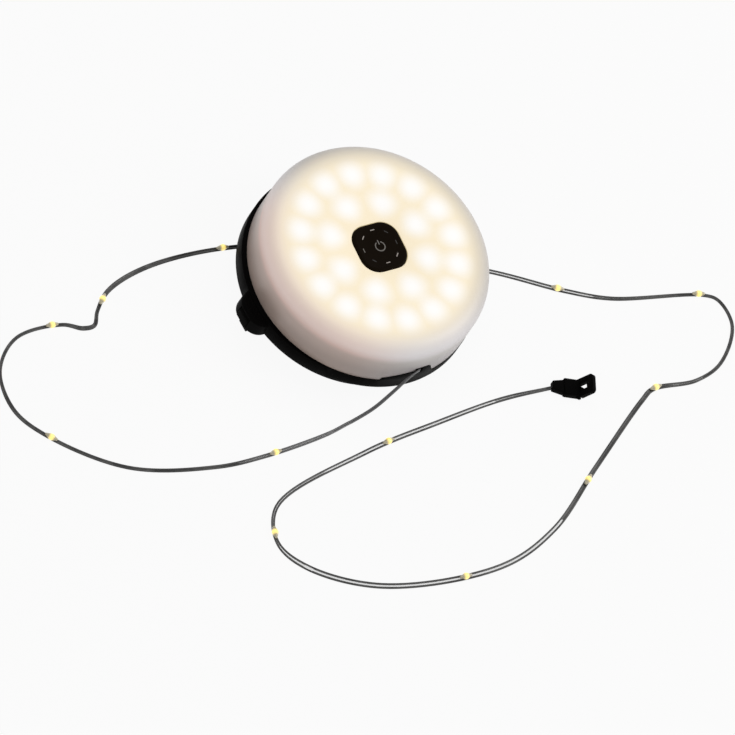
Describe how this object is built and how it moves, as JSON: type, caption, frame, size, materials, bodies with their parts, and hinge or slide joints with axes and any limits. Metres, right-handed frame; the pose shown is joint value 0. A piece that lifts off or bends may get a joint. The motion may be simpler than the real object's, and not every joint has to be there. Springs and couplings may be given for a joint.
{
  "type": "patio umbrella light",
  "caption": "Round opal lamp with a central push button, a fold-out hanging hook and a light string that winds up inside.",
  "frame": {"origin": "on the table under the middle of the lamp, in the plane that its feet stand on", "axes": "+Z is the lamp's axis, up through the dome and the button; the string leaves at -Y"},
  "size_m": [0.4616, 0.2625, 0.0554],
  "materials": {
    "opal": "satin opal",
    "black_plastic": "fine matt",
    "white_plastic": "satin",
    "grey_plastic": "satin",
    "mark": "gloss",
    "seal": "matt",
    "foot": "matt",
    "board_white": "satin",
    "board_green": "satin",
    "chip": "satin",
    "led": "clear gloss",
    "bead": "clear gloss",
    "steel": "satin",
    "brass": "satin",
    "cell": "shrink wrap",
    "wire": "insulation",
    "string": "clear insulation"
  },
  "bodies": {
    "housing": {"diffuser": "opal", "button_housing": "white_plastic", "button_seal": "seal", "tact_switch": "chip", "led_board": "board_white", "board_leds": "led", "led_tray": "white_plastic", "tray_screws": "steel", "seal_ring": "seal", "base_shell": "black_plastic", "string_guide": "black_plastic", "string_lead": "string", "string_wire": "string", "string_leds": "bead", "end_hook": "black_plastic", "battery_cells": "cell", "battery_holder": "chip", "battery_contacts": "steel", "battery_leads": "wire", "control_board": "board_green", "board_parts": "chip", "brushes": "brass", "reel_bush": "brass", "rear_cover": "black_plastic", "rear_feet": "foot", "rear_screws": "steel", "hook_pin": "steel", "usb_board": "board_green", "usb_socket": "steel", "cover_pin": "steel"},
    "button": {"button_cap": "black_plastic", "indicator_marks": "mark", "power_symbol": "mark"},
    "reel": {"reel_drum": "grey_plastic", "wound_string": "string", "slip_rings": "brass", "winding_dial": "black_plastic", "dial_screw": "steel", "crank_pin": "steel"},
    "knob": {"crank_knob": "black_plastic"},
    "hook": {"hanging_hook": "black_plastic"},
    "cover": {"usb_cover": "foot"}
  },
  "joints": [
    {"name": "button_press", "type": "slide", "parent": "housing", "child": "button", "axis": [0, 0, -1], "range_m": [0, 0.0008], "stiffness_N_per_m": 2500},
    {"name": "reel_turn", "type": "hinge", "parent": "housing", "child": "reel", "pos_m": [0, 0, 0.01], "axis": [0, 0, 1], "continuous": true},
    {"name": "knob_fold", "type": "hinge", "parent": "reel", "child": "knob", "pos_m": [0.015, 0, 0.0029], "axis": [0, -1, 0], "range_deg": [0, 90]},
    {"name": "hook_fold", "type": "hinge", "parent": "housing", "child": "hook", "pos_m": [-0.0757, -0.00397, 0.0163], "axis": [-0.0523, 0.9986, 0], "range_deg": [0, 90]},
    {"name": "usb_cover_open", "type": "hinge", "parent": "housing", "child": "cover", "pos_m": [-0.0086, 0.0708, 0.0189], "axis": [0, 0, 1], "range_deg": [0, 100]}
  ]
}
